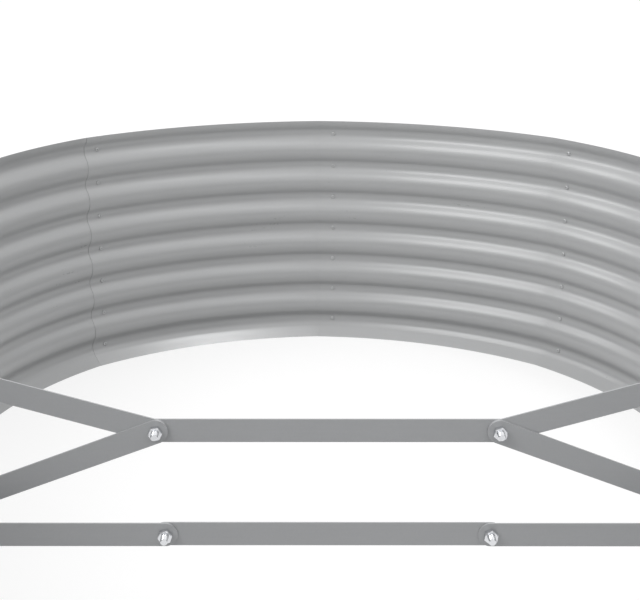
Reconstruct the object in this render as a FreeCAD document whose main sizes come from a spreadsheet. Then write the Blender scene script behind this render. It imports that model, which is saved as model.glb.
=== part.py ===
import FreeCAD, Part
import math
import os
import Sketcher
from FreeCAD import Placement, Rotation, Vector

# Raised garden bed: an open oval ring of corrugated steel panels, lapped at their ends,
# with flat-strap braces across the middle. Millimetres, +Z up, +Y along the bed. The
# origin is the centre of the ground under the bed. The bolts that carry the braces are
# here; the small screws that only hold the laps together are not.

# ---------------------------------------------------------------- driving dimensions

SIZES = [
    ("bed_height", 360.0),            # ground to the top edge of the wall
    ("end_radius", 500.0),            # end centre to the panel corners, mid-sheet
    ("straight_length", 780.0),       # between the centres of the two round ends
    ("panel_bow", 33.0),              # rise of a curved panel over its own chord
    ("sheet_thickness", 0.6),
    ("lap_gap", 0.45),                # air between two lapped sheets
    ("lap_length", 44.0),             # how far one panel runs behind the next
    ("lap_bolt_inset", 22.0),         # panel's visible edge to its line of bolts
    ("wave_pitch", 52.0),             # one full wave of the corrugation
    ("wave_depth", 11.0),             # inner crest to outer crest, mid-sheet
    ("wave_flat", 8.7),               # height of the flat on each crest
    ("least_band", 1.0),              # a wave corner this near the top edge is left out
    ("first_row_height", 26.0),       # ground to the lowest outer crest and bolt row
    ("wall_bolt_size", 4.0),          # bolts through wall and brace tab, across the shank
    ("wall_hole_play", 0.4),          # hole size over bolt size
    ("wall_bolt_length", 20.0),
    ("wall_head_width", 7.0),
    ("wall_head_height", 2.8),
    ("wall_nut_width", 7.0),
    ("wall_nut_height", 3.2),
    ("seat_gap", 0.1),                # air under heads and nuts on the bent sheet
    ("strap_width", 25.0),
    ("strap_thickness", 2.0),
    ("bend_radius", 1.8),             # outside radius where a strap turns into its tab
    ("tab_seat_gap", 0.3),            # air between a tab and the wall it is bolted to
    ("joint_height", 197.5),          # upper brace: height of its two fork bolts
    ("joint_half_span", 174.0),       # upper brace: bed centre line to a fork bolt
    ("fork_tab_spread", 3.0),         # fork tabs sit this far outside their bolt rows
    ("lower_joint_half_span", 162.5), # lower brace: bed centre line to a splice bolt
    ("upper_brace_setback", 6.0),     # middle of the bed back to the upper brace's forks
    ("lower_brace_setback", 34.0),    # middle of the bed forward to the lower brace
    ("lower_tab_reach", 14.0),        # lower brace to its wall bolts
    ("joint_bolt_diameter", 8.0),
    ("joint_hole_play", 0.6),
    ("joint_bolt_length", 20.0),
    ("joint_head_width", 13.0),
    ("joint_head_height", 5.3),
    ("joint_nut_width", 13.0),
    ("joint_nut_height", 6.5),
]

PANELS_PER_END = 4
PANELS_PER_SIDE = 2
FACETS_PER_CURVED_PANEL = 5           # flats that stand for a panel's rolled curve
FORK_ROW_INDEX = 1                    # fork tabs use the second bolt row from each edge

doc = FreeCAD.newDocument("raised_garden_bed")
sheet = doc.addObject("Spreadsheet::Sheet", "sizes")
for row, (alias, number) in enumerate(SIZES, start=1):
    sheet.set(f"A{row}", alias.replace("_", " "))
    sheet.set(f"B{row}", str(number))
    sheet.setAlias(f"B{row}", alias)
doc.recompute()


class Size:
    """A length that knows its number and the spreadsheet formula behind it."""

    def __init__(self, number, formula):
        self.number = number
        self.formula = formula

    def _with(self, other, number, sign):
        formula = other.formula if isinstance(other, Size) else repr(float(other))
        return Size(number, f"({self.formula} {sign} {formula})")

    def __add__(self, other):
        return self._with(other, self.number + plain(other), "+")

    def __sub__(self, other):
        return self._with(other, self.number - plain(other), "-")

    def __mul__(self, other):
        return self._with(other, self.number * plain(other), "*")

    def __truediv__(self, other):
        return self._with(other, self.number / plain(other), "/")

    def __neg__(self):
        return self * -1.0


def plain(size):
    return size.number if isinstance(size, Size) else float(size)


def cell(alias):
    return Size(float(sheet.get(alias)), f"sizes.{alias}")


def fixed(number):
    """A place worked out from the wall's shape, as a Size with no cell of its own."""
    return Size(float(number), repr(float(number)))


def bind(thing, name, size):
    thing.setExpression(name, size.formula)


HEIGHT = plain(cell("bed_height"))
PITCH = plain(cell("wave_pitch"))
DEPTH = plain(cell("wave_depth"))
SHEET = plain(cell("sheet_thickness"))
LAYER = SHEET + plain(cell("lap_gap"))
SEAT_GAP = plain(cell("seat_gap"))

# ---------------------------------------------------------------- the corrugation

FIRST_ROW = plain(cell("first_row_height"))
ROW_COUNT = int((HEIGHT - FIRST_ROW) // PITCH) + 1
ROWS = [FIRST_ROW + PITCH * index for index in range(ROW_COUNT)]
LOW_FORK_ROW = ROWS[FORK_ROW_INDEX]
HIGH_FORK_ROW = ROWS[-1 - FORK_ROW_INDEX]
LOWER_BRACE_HEIGHT = LOW_FORK_ROW + PITCH / 2


def wave_offset(height):
    """Mid-sheet distance outwards from the mean wall surface at a height."""
    from_crest = abs((height - FIRST_ROW + PITCH / 2) % PITCH - PITCH / 2)
    half_flat = plain(cell("wave_flat")) / 2
    down_flank = (from_crest - half_flat) / (PITCH / 2 - 2 * half_flat)
    return DEPTH / 2 - DEPTH * min(max(down_flank, 0.0), 1.0)


def wave_corners():
    """Corners of the mid-sheet line, (outwards, height), from the ground to the top."""
    half_flat = plain(cell("wave_flat")) / 2
    heights = [0.0]
    for crest in range(-1, 2 * ROW_COUNT + 1):
        middle = FIRST_ROW + crest * PITCH / 2
        heights += [middle - half_flat, middle + half_flat]
    highest = HEIGHT - plain(cell("least_band"))
    inside = [z for z in sorted(heights) if 0.0 <= z < highest]
    return [(wave_offset(z), z) for z in inside + [HEIGHT]]


def directions(points):
    steps = [(b[0] - a[0], b[1] - a[1]) for a, b in zip(points, points[1:])]
    return [(u / math.hypot(u, v), v / math.hypot(u, v)) for u, v in steps]


def mitres(points):
    """For each point of an open line, the step that offsets the line by 1 to its left."""
    normals = [(-v, u) for u, v in directions(points)]
    before = [normals[0]] + normals
    after = normals + [normals[-1]]
    pairs = zip(before, after)
    return [
        ((a[0] + b[0]) / (1 + a[0] * b[0] + a[1] * b[1]),
         (a[1] + b[1]) / (1 + a[0] * b[0] + a[1] * b[1]))
        for a, b in pairs
    ]


def sheet_section():
    """Closed outline of the corrugated sheet's thickness, its edges cut level."""
    middle = wave_corners()
    steps = mitres(middle)
    for end in (0, -1):
        steps[end] = (-math.hypot(*steps[end]) ** 2 / abs(steps[end][0]), 0.0)
    half = SHEET / 2
    inner = [(r + half * u, z + half * v) for (r, z), (u, v) in zip(middle, steps)]
    outer = [(r - half * u, z - half * v) for (r, z), (u, v) in zip(middle, steps)]
    return inner + outer[::-1]


# ---------------------------------------------------------------- the oval in plan

END_RADIUS = plain(cell("end_radius"))
END_CENTRE = plain(cell("straight_length")) / 2
INSET = plain(cell("lap_bolt_inset"))


def end_corners(centre_y, first_angle):
    """Panel corners round one end, clockwise from above."""
    turn = 180.0 / PANELS_PER_END
    angles = [math.radians(first_angle - turn * step) for step in range(PANELS_PER_END + 1)]
    return [(END_RADIUS * math.cos(a), centre_y + END_RADIUS * math.sin(a)) for a in angles]


def side_corners(side):
    """Panel corners along a straight side, between its two ends, clockwise."""
    step = 2 * END_CENTRE / PANELS_PER_SIDE
    return [(side * END_RADIUS, side * (END_CENTRE - step * count))
            for count in range(1, PANELS_PER_SIDE)]


CORNERS = (end_corners(END_CENTRE, 180.0) + side_corners(1)
           + end_corners(-END_CENTRE, 0.0) + side_corners(-1))
PANEL_NAMES = (
    [f"rear_end_panel_{count + 1}" for count in range(PANELS_PER_END)]
    + [f"right_side_panel_{count + 1}" for count in range(PANELS_PER_SIDE)]
    + [f"front_end_panel_{count + 1}" for count in range(PANELS_PER_END)]
    + [f"left_side_panel_{count + 1}" for count in range(PANELS_PER_SIDE)]
)
RIGHT_MIDDLE_SEAM = PANELS_PER_END + PANELS_PER_SIDE // 2
LEFT_MIDDLE_SEAM = RIGHT_MIDDLE_SEAM + PANELS_PER_END + PANELS_PER_SIDE


def corner(index):
    return CORNERS[index % len(CORNERS)]


def panel_line(index):
    """Plan line of one panel between its corners: a shallow arc, or straight."""
    start, end = corner(index), corner(index + 1)
    if "end" not in PANEL_NAMES[index % len(PANEL_NAMES)]:
        return [start, end]
    chord = math.dist(start, end)
    (along,) = directions([start, end])
    bow = plain(cell("panel_bow"))
    bow_radius = (chord ** 2 / 4 + bow ** 2) / (2 * bow)
    half_turn = math.asin(chord / 2 / bow_radius)
    points = []
    for count in range(FACETS_PER_CURVED_PANEL + 1):
        turn = half_turn * (2 * count / FACETS_PER_CURVED_PANEL - 1)
        run = chord / 2 + bow_radius * math.sin(turn)
        rise = bow_radius * (math.cos(turn) - math.cos(half_turn))
        points.append((start[0] + run * along[0] - rise * along[1],
                       start[1] + run * along[1] + rise * along[0]))
    return points


def lapped_line(index):
    """Plan line of one sheet: inside its neighbour at the start, outside the next at its tail."""
    line = panel_line(index)
    shift = [LAYER * (count / (len(line) - 1) - 0.5) for count in range(len(line))]
    next_way = directions(panel_line(index + 1))[0]
    tail = plain(cell("lap_length"))
    line.append((line[-1][0] + tail * next_way[0], line[-1][1] + tail * next_way[1]))
    shift.append(shift[-1])
    return [(x + step[0] * out, y + step[1] * out)
            for (x, y), step, out in zip(line, mitres(line), shift)]


def seam_frame(index):
    """Point on the mean wall surface at a seam's bolts, and the outward direction there."""
    (x, y), (u, v) = corner(index), directions(panel_line(index))[0]
    return Vector(x + INSET * u, y + INSET * v, 0), Vector(-v, u, 0)


def out_from(base, outward, height, distance):
    point = base + outward * distance
    return Vector(point.x, point.y, height)


def bolt_place(base, outward, height, distance):
    """Placement that turns a fastener's +Z axis to point out of the bed."""
    rotation = Rotation(Vector(0, 0, 1), outward)
    return Placement(out_from(base, outward, height, distance), rotation)


# ---------------------------------------------------------------- where the bolts go

LOWER_BRACE_Y = -plain(cell("lower_brace_setback"))
LOWER_WALL_BOLT_Y = LOWER_BRACE_Y + plain(cell("lower_tab_reach"))


class BoltSpot:
    """One small bolt through the wall: its place, height and the layers it clamps."""

    def __init__(self, base, outward, height, inner_layer, outer_layer):
        self.base = base
        self.outward = outward
        self.height = height
        self.inner_face = wave_offset(height) + inner_layer * LAYER / 2 - SHEET / 2
        self.outer_face = wave_offset(height) + outer_layer * LAYER / 2 + SHEET / 2


def fork_spots():
    """The fork tabs' wall bolts, through both layers of the middle seams' laps."""
    return [BoltSpot(*seam_frame(seam), row, -1, 1)
            for seam in (RIGHT_MIDDLE_SEAM, LEFT_MIDDLE_SEAM)
            for row in (LOW_FORK_ROW, HIGH_FORK_ROW)]


def lower_wall_spots():
    """The lower brace's wall bolts: through the lap on the right, one sheet on the left."""
    spots = []
    for side, inner_layer in ((1, -1), (-1, 1)):
        base = Vector(side * END_RADIUS, LOWER_WALL_BOLT_Y, 0)
        spots.append(BoltSpot(base, Vector(side, 0, 0), LOWER_BRACE_HEIGHT, inner_layer, 1))
    return spots


FORK_SPOTS = fork_spots()
LOWER_SPOTS = lower_wall_spots()
WALL_SPOTS = FORK_SPOTS + LOWER_SPOTS

# ---------------------------------------------------------------- panels


def panel_solid(index):
    section = sheet_section()
    line = lapped_line(index)
    rings = [[Vector(x + u * r, y + v * r, z) for r, z in section]
             for (x, y), (u, v) in zip(line, mitres(line))]
    faces = [Part.Face(Part.makePolygon(ring + ring[:1])) for ring in (rings[0], rings[-1])]
    for ring, following in zip(rings, rings[1:]):
        for a, b, c, d in zip(ring, ring[1:] + ring[:1],
                              following[1:] + following[:1], following):
            faces.append(Part.Face(Part.makePolygon([a, b, c, d, a])))
    shell = Part.makeShell(faces)
    shell.sewShape()
    solid = Part.makeSolid(shell)
    if solid.Volume < 0:
        solid.reverse()
    return solid


def square_punch(spot):
    """A square bar across the wall, as wide as a bolt hole."""
    width = plain(cell("wall_bolt_size")) + plain(cell("wall_hole_play"))
    reach = DEPTH
    punch = Part.makeBox(width, width, 2 * reach, Vector(-width / 2, -width / 2, -reach))
    punch.Placement = bolt_place(spot.base, spot.outward, spot.height,
                                 wave_offset(spot.height))
    return punch


def add_panel(index):
    solid = panel_solid(index)
    near = [spot for spot in WALL_SPOTS
            if solid.BoundBox.isInside(out_from(spot.base, spot.outward, spot.height, 0.0))]
    piece = doc.addObject("Part::Feature", PANEL_NAMES[index])
    piece.Shape = solid.cut([square_punch(spot) for spot in near]) if near else solid
    piece.Placement = Placement(Vector(0, 0, 0), Rotation())
    return piece


# ---------------------------------------------------------------- wall bolts and nuts


def hexagon(label, across_flats, height):
    """A hexagonal prism standing on the ground plane, bound to its two cells."""
    prism = doc.addObject("Part::Prism", label)
    prism.Polygon = 6
    bind(prism, "Circumradius", across_flats / math.sqrt(3.0))
    bind(prism, "Height", height)
    return prism


def square_bar(label, width, height):
    bar = doc.addObject("Part::Box", label)
    bind(bar, "Length", width)
    bind(bar, "Width", width)
    bind(bar, "Height", height)
    bind(bar, "Placement.Base.x", -width / 2)
    bind(bar, "Placement.Base.y", -width / 2)
    return bar


def wall_bolt():
    """Bolt along Z with its head above the ground plane and its shank below."""
    length = cell("wall_bolt_length")
    head = hexagon("wall_bolt_head", cell("wall_head_width"), cell("wall_head_height"))
    shank = square_bar("wall_bolt_shank", cell("wall_bolt_size"), length)
    bind(shank, "Placement.Base.z", -length)
    bolt = doc.addObject("Part::MultiFuse", "wall_bolt_master")
    bolt.Shapes = [head, shank]
    return bolt


def wall_nut():
    """Nut along Z with its seat on the ground plane and its body below."""
    block = hexagon("wall_nut_block", cell("wall_nut_width"), cell("wall_nut_height"))
    bind(block, "Placement.Base.z", -cell("wall_nut_height"))
    width = cell("wall_bolt_size") + cell("seat_gap")
    bore = square_bar("wall_nut_bore", width, cell("wall_nut_height") * 3.0)
    bind(bore, "Placement.Base.z", cell("wall_nut_height") * -2.0)
    nut = doc.addObject("Part::Cut", "wall_nut_master")
    nut.Base = block
    nut.Tool = bore
    return nut


def add_group(label, master, places):
    """One node of equal fasteners, each a solid of its own."""
    doc.recompute()
    copies = []
    for place in places:
        copy = master.Shape.copy()
        copy.Placement = place
        copies.append(copy)
    group = doc.addObject("Part::Feature", label)
    group.Shape = Part.makeCompound(copies)
    group.Placement = Placement(Vector(0, 0, 0), Rotation())
    return group


def head_place(spot):
    return bolt_place(spot.base, spot.outward, spot.height, spot.outer_face + SEAT_GAP)


def nut_place(spot, seat):
    return bolt_place(spot.base, spot.outward, spot.height, seat - SEAT_GAP)


# ---------------------------------------------------------------- sketches


def origin_plane(body, role):
    return next(f for f in body.Origin.OriginFeatures if f.Role == role)


def new_sketch(body, role, offset=None):
    sketch = body.newObject("Sketcher::SketchObject", body.Label + "_outline")
    sketch.AttachmentSupport = [(origin_plane(body, role), "")]
    sketch.MapMode = "FlatFace"
    if offset is not None:
        sketch.AttachmentOffset = Placement(Vector(0, 0, plain(offset)), Rotation())
        bind(sketch, "AttachmentOffset.Base.z", offset)
    return sketch


def pin_point(sketch, curve, end, point):
    """Hold one point of a curve at a place given by two sizes."""
    for kind, size in zip(("DistanceX", "DistanceY"), point):
        number = sketch.addConstraint(
            Sketcher.Constraint(kind, -1, 1, curve, end, plain(size)))
        sketch.setExpression(f"Constraints[{number}]", size.formula)


def draw_circle(sketch, centre, radius):
    middle = Vector(plain(centre[0]), plain(centre[1]), 0)
    circle = sketch.addGeometry(Part.Circle(middle, Vector(0, 0, 1), plain(radius)))
    pin_point(sketch, circle, 3, centre)
    number = sketch.addConstraint(Sketcher.Constraint("Radius", circle, plain(radius)))
    sketch.setExpression(f"Constraints[{number}]", radius.formula)


def draw_line(sketch, start, end):
    ends = [Vector(plain(p[0]), plain(p[1]), 0) for p in (start, end)]
    line = sketch.addGeometry(Part.LineSegment(*ends))
    pin_point(sketch, line, 1, start)
    pin_point(sketch, line, 2, end)


def draw_round_end(sketch, start, crown, end):
    """Half circle from start over crown to end, its ends and centre held."""
    points = [Vector(plain(p[0]), plain(p[1]), 0) for p in (start, crown, end)]
    if (points[1] - points[0]).cross(points[2] - points[1]).z < 0:
        draw_round_end(sketch, end, crown, start)
        return
    curve = sketch.addGeometry(Part.Arc(*points))
    pin_point(sketch, curve, 1, start)
    pin_point(sketch, curve, 2, end)
    middle = (start[0] + end[0]) / 2
    number = sketch.addConstraint(
        Sketcher.Constraint("DistanceX", -1, 1, curve, 3, plain(middle)))
    sketch.setExpression(f"Constraints[{number}]", middle.formula)


def pad(body, sketch, length):
    feature = body.newObject("PartDesign::Pad", body.Label + "_pad")
    feature.Profile = sketch
    bind(feature, "Length", length)
    body.Tip = feature
    return feature


# ---------------------------------------------------------------- straps

STRAP_WIDTH = cell("strap_width")
STRAP_THICKNESS = cell("strap_thickness")
JOINT_HOLE = (cell("joint_bolt_diameter") + cell("joint_hole_play")) / 2
TAB_HOLE = (cell("wall_bolt_size") + cell("wall_hole_play")) / math.sqrt(2.0)
ZERO = fixed(0.0)


def place_strap(body, x, back_y, height):
    for axis, size in zip("xyz", (x, back_y, height)):
        bind(body, f"Placement.Base.{axis}", size)


def add_centre_bar(label, half_span, back_y, height):
    """Flat bar on edge with round ends and a hole at each end, centred on the bed."""
    body = doc.addObject("PartDesign::Body", label)
    sketch = new_sketch(body, "XZ_Plane")
    half = STRAP_WIDTH / 2
    for way in (1.0, -1.0):
        middle = half_span * way
        crown = (middle + half * way, ZERO)
        draw_round_end(sketch, (middle, half * -way), crown, (middle, half * way))
        draw_line(sketch, (middle, half * way), (-middle, half * way))
        draw_circle(sketch, (middle, ZERO), JOINT_HOLE)
    pad(body, sketch, STRAP_THICKNESS)
    place_strap(body, ZERO, back_y, height)
    return body


class TabbedArm:
    """Strap on edge from a brace joint to a tab that is bent along the wall."""

    def __init__(self, label, side, joint, back_y, tab_height, bolt, seat):
        self.body = doc.addObject("PartDesign::Body", label)
        self.side = side
        self.run = fixed(abs(seat)) - joint[0]
        self.rise = tab_height - joint[1]
        self.back_y = back_y
        self.bolt_y = fixed(bolt.y) - back_y
        self.bolt_z = fixed(bolt.z) - joint[1]
        self.tab_way = 1.0 if plain(self.bolt_y) > 0 else -1.0
        place_strap(self.body, joint[0] * side, back_y, joint[1])

    def build(self):
        self.pad_arm()
        self.pad_tab()
        self.round_bend()
        return self.body

    def pad_arm(self):
        """Sloping part: round at the joint, cut upright where it turns into the tab."""
        sketch = new_sketch(self.body, "XZ_Plane")
        half = STRAP_WIDTH / 2
        length = math.hypot(plain(self.run), plain(self.rise))
        formula = f"sqrt({self.run.formula} ^ 2 + {self.rise.formula} ^ 2)"
        slant = Size(length, formula)
        across = (self.rise * half / slant * -self.side, self.run * half / slant)
        back = (self.run * half / slant * -self.side, self.rise * half / slant * -1.0)
        upper = (across[0], across[1])
        lower = (-across[0], -across[1])
        draw_round_end(sketch, upper, back, lower)
        wall = self.run * self.side
        bend = (self.run - STRAP_THICKNESS) * self.side
        top, bottom = self.rise + half, self.rise - half
        outline = [upper, (bend, top), (wall, top), (wall, bottom), (bend, bottom), lower]
        for start, end in zip(outline, outline[1:]):
            draw_line(sketch, start, end)
        draw_circle(sketch, (ZERO, ZERO), JOINT_HOLE)
        pad(self.body, sketch, STRAP_THICKNESS)

    def pad_tab(self):
        """Tab along the wall, with a round end about its bolt."""
        run = self.run if self.side < 0 else STRAP_THICKNESS - self.run
        sketch = new_sketch(self.body, "YZ_Plane", -run)
        half = STRAP_WIDTH / 2
        fold = ZERO if self.tab_way < 0 else -STRAP_THICKNESS
        top, bottom = self.rise + half, self.rise - half
        crown = (self.bolt_y + half * self.tab_way, self.rise)
        draw_line(sketch, (fold, bottom), (fold, top))
        draw_line(sketch, (fold, top), (self.bolt_y, top))
        draw_round_end(sketch, (self.bolt_y, top), crown, (self.bolt_y, bottom))
        draw_line(sketch, (self.bolt_y, bottom), (fold, bottom))
        draw_circle(sketch, (self.bolt_y, self.bolt_z), TAB_HOLE)
        pad(self.body, sketch, STRAP_THICKNESS)

    def round_bend(self):
        """Round the outside of the bend between arm and tab."""
        doc.recompute()
        x = self.side * plain(self.run)
        y = 0.0 if self.tab_way < 0 else -plain(STRAP_THICKNESS)
        folded = self.body.Tip
        names = []
        for number, edge in enumerate(folded.Shape.Edges, start=1):
            ends = [vertex.Point for vertex in edge.Vertexes]
            if all(abs(p.x - x) < 1e-4 and abs(p.y - y) < 1e-4 for p in ends):
                names.append(f"Edge{number}")
        fillet = self.body.newObject("PartDesign::Fillet", self.body.Label + "_bend")
        fillet.Base = (folded, names)
        bind(fillet, "Radius", cell("bend_radius"))
        self.body.Tip = fillet


def tab_seat(spot_height, tab_height, layer):
    """How far out a tab's outer face may lie, by the wave behind its top and bottom."""
    half = plain(STRAP_WIDTH) / 2
    tab_edges = (tab_height - half, tab_height + half, spot_height)
    nearest = min(wave_offset(height) for height in tab_edges)
    slant = math.hypot(DEPTH, PITCH / 2 - plain(cell("wave_flat")))
    skin = SHEET / 2 * slant / (PITCH / 2 - plain(cell("wave_flat")))
    return END_RADIUS + nearest - skin + layer * LAYER / 2 - plain(cell("tab_seat_gap"))


def add_upper_brace():
    """Centre bar behind, and a fork of two arms at each end in front of it."""
    joint = (cell("joint_half_span"), cell("joint_height"))
    plane = cell("upper_brace_setback")
    pieces = [add_centre_bar("upper_brace_centre_bar", joint[0], plane + STRAP_THICKNESS,
                             joint[1])]
    spread = cell("fork_tab_spread")
    seats = {}
    for side, word, seam in ((-1, "left", LEFT_MIDDLE_SEAM), (1, "right", RIGHT_MIDDLE_SEAM)):
        base, outward = seam_frame(seam)
        forks = (("high", HIGH_FORK_ROW, spread, plane),
                 ("low", LOW_FORK_ROW, -spread, plane - STRAP_THICKNESS))
        for level, row, shift, back_y in forks:
            tab_height = fixed(row) + shift
            seat = tab_seat(row, plain(tab_height), -1)
            seats[row] = seat - END_RADIUS - plain(STRAP_THICKNESS)
            arm = TabbedArm(f"upper_brace_{word}_{level}_arm", side, joint, back_y,
                            tab_height, Vector(0, base.y, row), seat)
            pieces.append(arm.build())
    return pieces, seats


def add_lower_brace():
    """Centre bar, and one bar in front of it at each end that reaches the wall."""
    joint = (cell("lower_joint_half_span"), fixed(LOWER_BRACE_HEIGHT))
    plane = cell("lower_brace_setback") * -1.0
    pieces = [add_centre_bar("lower_brace_centre_bar", joint[0], plane, joint[1])]
    seats = []
    for spot, word in zip(LOWER_SPOTS, ("right", "left")):
        layer = -1 if word == "right" else 1
        seat = tab_seat(LOWER_BRACE_HEIGHT, LOWER_BRACE_HEIGHT, layer)
        side = 1 if word == "right" else -1
        arm = TabbedArm(f"lower_brace_{word}_bar", side, joint, plane - STRAP_THICKNESS,
                        fixed(LOWER_BRACE_HEIGHT),
                        Vector(0, LOWER_WALL_BOLT_Y, LOWER_BRACE_HEIGHT), seat)
        pieces.append(arm.build())
        seats.append((spot, seat - END_RADIUS - plain(STRAP_THICKNESS)))
    return pieces, seats


# ---------------------------------------------------------------- brace joint bolts


def joint_bolt():
    """Bolt along Z: head above the ground plane, round shank below."""
    head = hexagon("joint_bolt_head", cell("joint_head_width"), cell("joint_head_height"))
    shank = doc.addObject("Part::Cylinder", "joint_bolt_shank")
    bind(shank, "Radius", cell("joint_bolt_diameter") / 2)
    bind(shank, "Height", cell("joint_bolt_length"))
    bind(shank, "Placement.Base.z", -cell("joint_bolt_length"))
    bolt = doc.addObject("Part::MultiFuse", "joint_bolt_master")
    bolt.Shapes = [head, shank]
    return bolt


def joint_nut():
    """Nut along Z with its seat on the ground plane and its body below."""
    block = hexagon("joint_nut_block", cell("joint_nut_width"), cell("joint_nut_height"))
    bind(block, "Placement.Base.z", -cell("joint_nut_height"))
    bore = doc.addObject("Part::Cylinder", "joint_nut_bore")
    bind(bore, "Radius", cell("joint_bolt_diameter") / 2 + cell("seat_gap"))
    bind(bore, "Height", cell("joint_nut_height") * 3.0)
    bind(bore, "Placement.Base.z", cell("joint_nut_height") * -2.0)
    nut = doc.addObject("Part::Cut", "joint_nut_master")
    nut.Base = block
    nut.Tool = bore
    return nut


def joint_places():
    """Back and front seats of the four brace bolts, heads to the rear."""
    towards_rear = Rotation(Vector(0, 0, 1), Vector(0, 1, 0))
    thickness = plain(STRAP_THICKNESS)
    upper_back = plain(cell("upper_brace_setback")) + thickness
    upper = (plain(cell("joint_half_span")), plain(cell("joint_height")), upper_back, 3)
    lower = (plain(cell("lower_joint_half_span")), LOWER_BRACE_HEIGHT, LOWER_BRACE_Y, 2)
    backs = []
    fronts = []
    for half_span, height, back_y, layers in (upper, lower):
        for side in (-1, 1):
            x = side * half_span
            backs.append(Placement(Vector(x, back_y, height), towards_rear))
            front_y = back_y - layers * thickness
            fronts.append(Placement(Vector(x, front_y, height), towards_rear))
    return backs, fronts


# ---------------------------------------------------------------- assembly

nodes = [add_panel(index) for index in range(len(CORNERS))]
upper_pieces, fork_seats = add_upper_brace()
lower_pieces, lower_seats = add_lower_brace()
nodes += upper_pieces + lower_pieces

head_places = [head_place(spot) for spot in WALL_SPOTS]
nut_places = [nut_place(spot, fork_seats[spot.height]) for spot in FORK_SPOTS]
nut_places += [nut_place(spot, seat) for spot, seat in lower_seats]
nodes.append(add_group("brace_wall_bolts", wall_bolt(), head_places))
nodes.append(add_group("brace_wall_nuts", wall_nut(), nut_places))

joint_backs, joint_fronts = joint_places()
nodes.append(add_group("brace_joint_bolts", joint_bolt(), joint_backs))
nodes.append(add_group("brace_joint_nuts", joint_nut(), joint_fronts))
doc.recompute()

# ---------------------------------------------------------------- checks and export

for thing in doc.Objects:
    for state in ("Invalid", "Error"):
        if state in thing.State:
            raise RuntimeError(f"{thing.Label} is {state}")
for node in nodes:
    if node.Shape.isNull() or not node.Shape.isValid():
        raise RuntimeError(f"{node.Label} has no valid shape")
    if any(solid.Volume <= 0 for solid in node.Shape.Solids):
        raise RuntimeError(f"{node.Label} has a solid with no volume")

os.makedirs("parts", exist_ok=True)
for node in nodes:
    node.Shape.exportStep(os.path.join("parts", node.Label + ".step"))
    print(node.Label, len(node.Shape.Solids), "solids", round(node.Shape.Volume), "mm3")
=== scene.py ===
"""Dresses the corrugated raised garden bed for its picture.

Every length is in metres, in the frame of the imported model: +Z up, +Y along the bed,
the origin on the ground under its middle.
"""

import logging
import math
from collections.abc import Iterable, Sequence
from dataclasses import dataclass
from enum import Enum
from functools import cached_property

import bmesh
import bpy
from mathutils import Matrix, Vector


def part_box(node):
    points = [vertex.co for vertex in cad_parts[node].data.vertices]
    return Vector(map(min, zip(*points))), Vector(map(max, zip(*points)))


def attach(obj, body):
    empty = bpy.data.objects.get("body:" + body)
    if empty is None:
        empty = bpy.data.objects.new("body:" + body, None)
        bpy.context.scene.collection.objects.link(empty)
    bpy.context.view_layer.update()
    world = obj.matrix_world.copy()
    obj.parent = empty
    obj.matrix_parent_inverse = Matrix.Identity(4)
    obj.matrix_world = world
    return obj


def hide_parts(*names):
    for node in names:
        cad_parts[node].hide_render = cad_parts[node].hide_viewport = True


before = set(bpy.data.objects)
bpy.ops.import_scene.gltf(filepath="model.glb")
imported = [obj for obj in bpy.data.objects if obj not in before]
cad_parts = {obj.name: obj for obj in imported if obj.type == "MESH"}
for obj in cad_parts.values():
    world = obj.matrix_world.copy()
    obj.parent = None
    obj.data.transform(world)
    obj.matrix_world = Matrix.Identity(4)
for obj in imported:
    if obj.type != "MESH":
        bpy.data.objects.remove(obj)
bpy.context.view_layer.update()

LOG = logging.getLogger("garden_bed")
BODY = "root"
MM = 0.001

OCTAVE_SHARE = 0.55       # how strong each finer octave of a noise is
SAME_PLACE = 0.01 * MM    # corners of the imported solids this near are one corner
CRISP_DEGREES = 28.0      # edges of bolts and nuts that turn by more stay sharp

Point2 = tuple[float, float]
Colour = tuple[float, float, float]
Rings = tuple[list[Vector], list[list[int]]]
Number = float | int


class Slot(Enum):
    """Material slots of the record that a piece can take its finish from."""

    WALL = "wall_sheet"
    STRAP = "brace_strap"
    FASTENER = "fasteners"


class Head(Enum):
    """Shapes of bolt head."""

    HEXAGON = "hexagon"
    BUTTON = "button"


class Axis(Enum):
    """Axes that a fastener can lie along, pointing from its nut to its head."""

    REAR = Vector((0.0, 1.0, 0.0))
    RIGHT = Vector((1.0, 0.0, 0.0))
    LEFT = Vector((-1.0, 0.0, 0.0))


# ------------------------------------------------------------------------- shader maths


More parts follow.
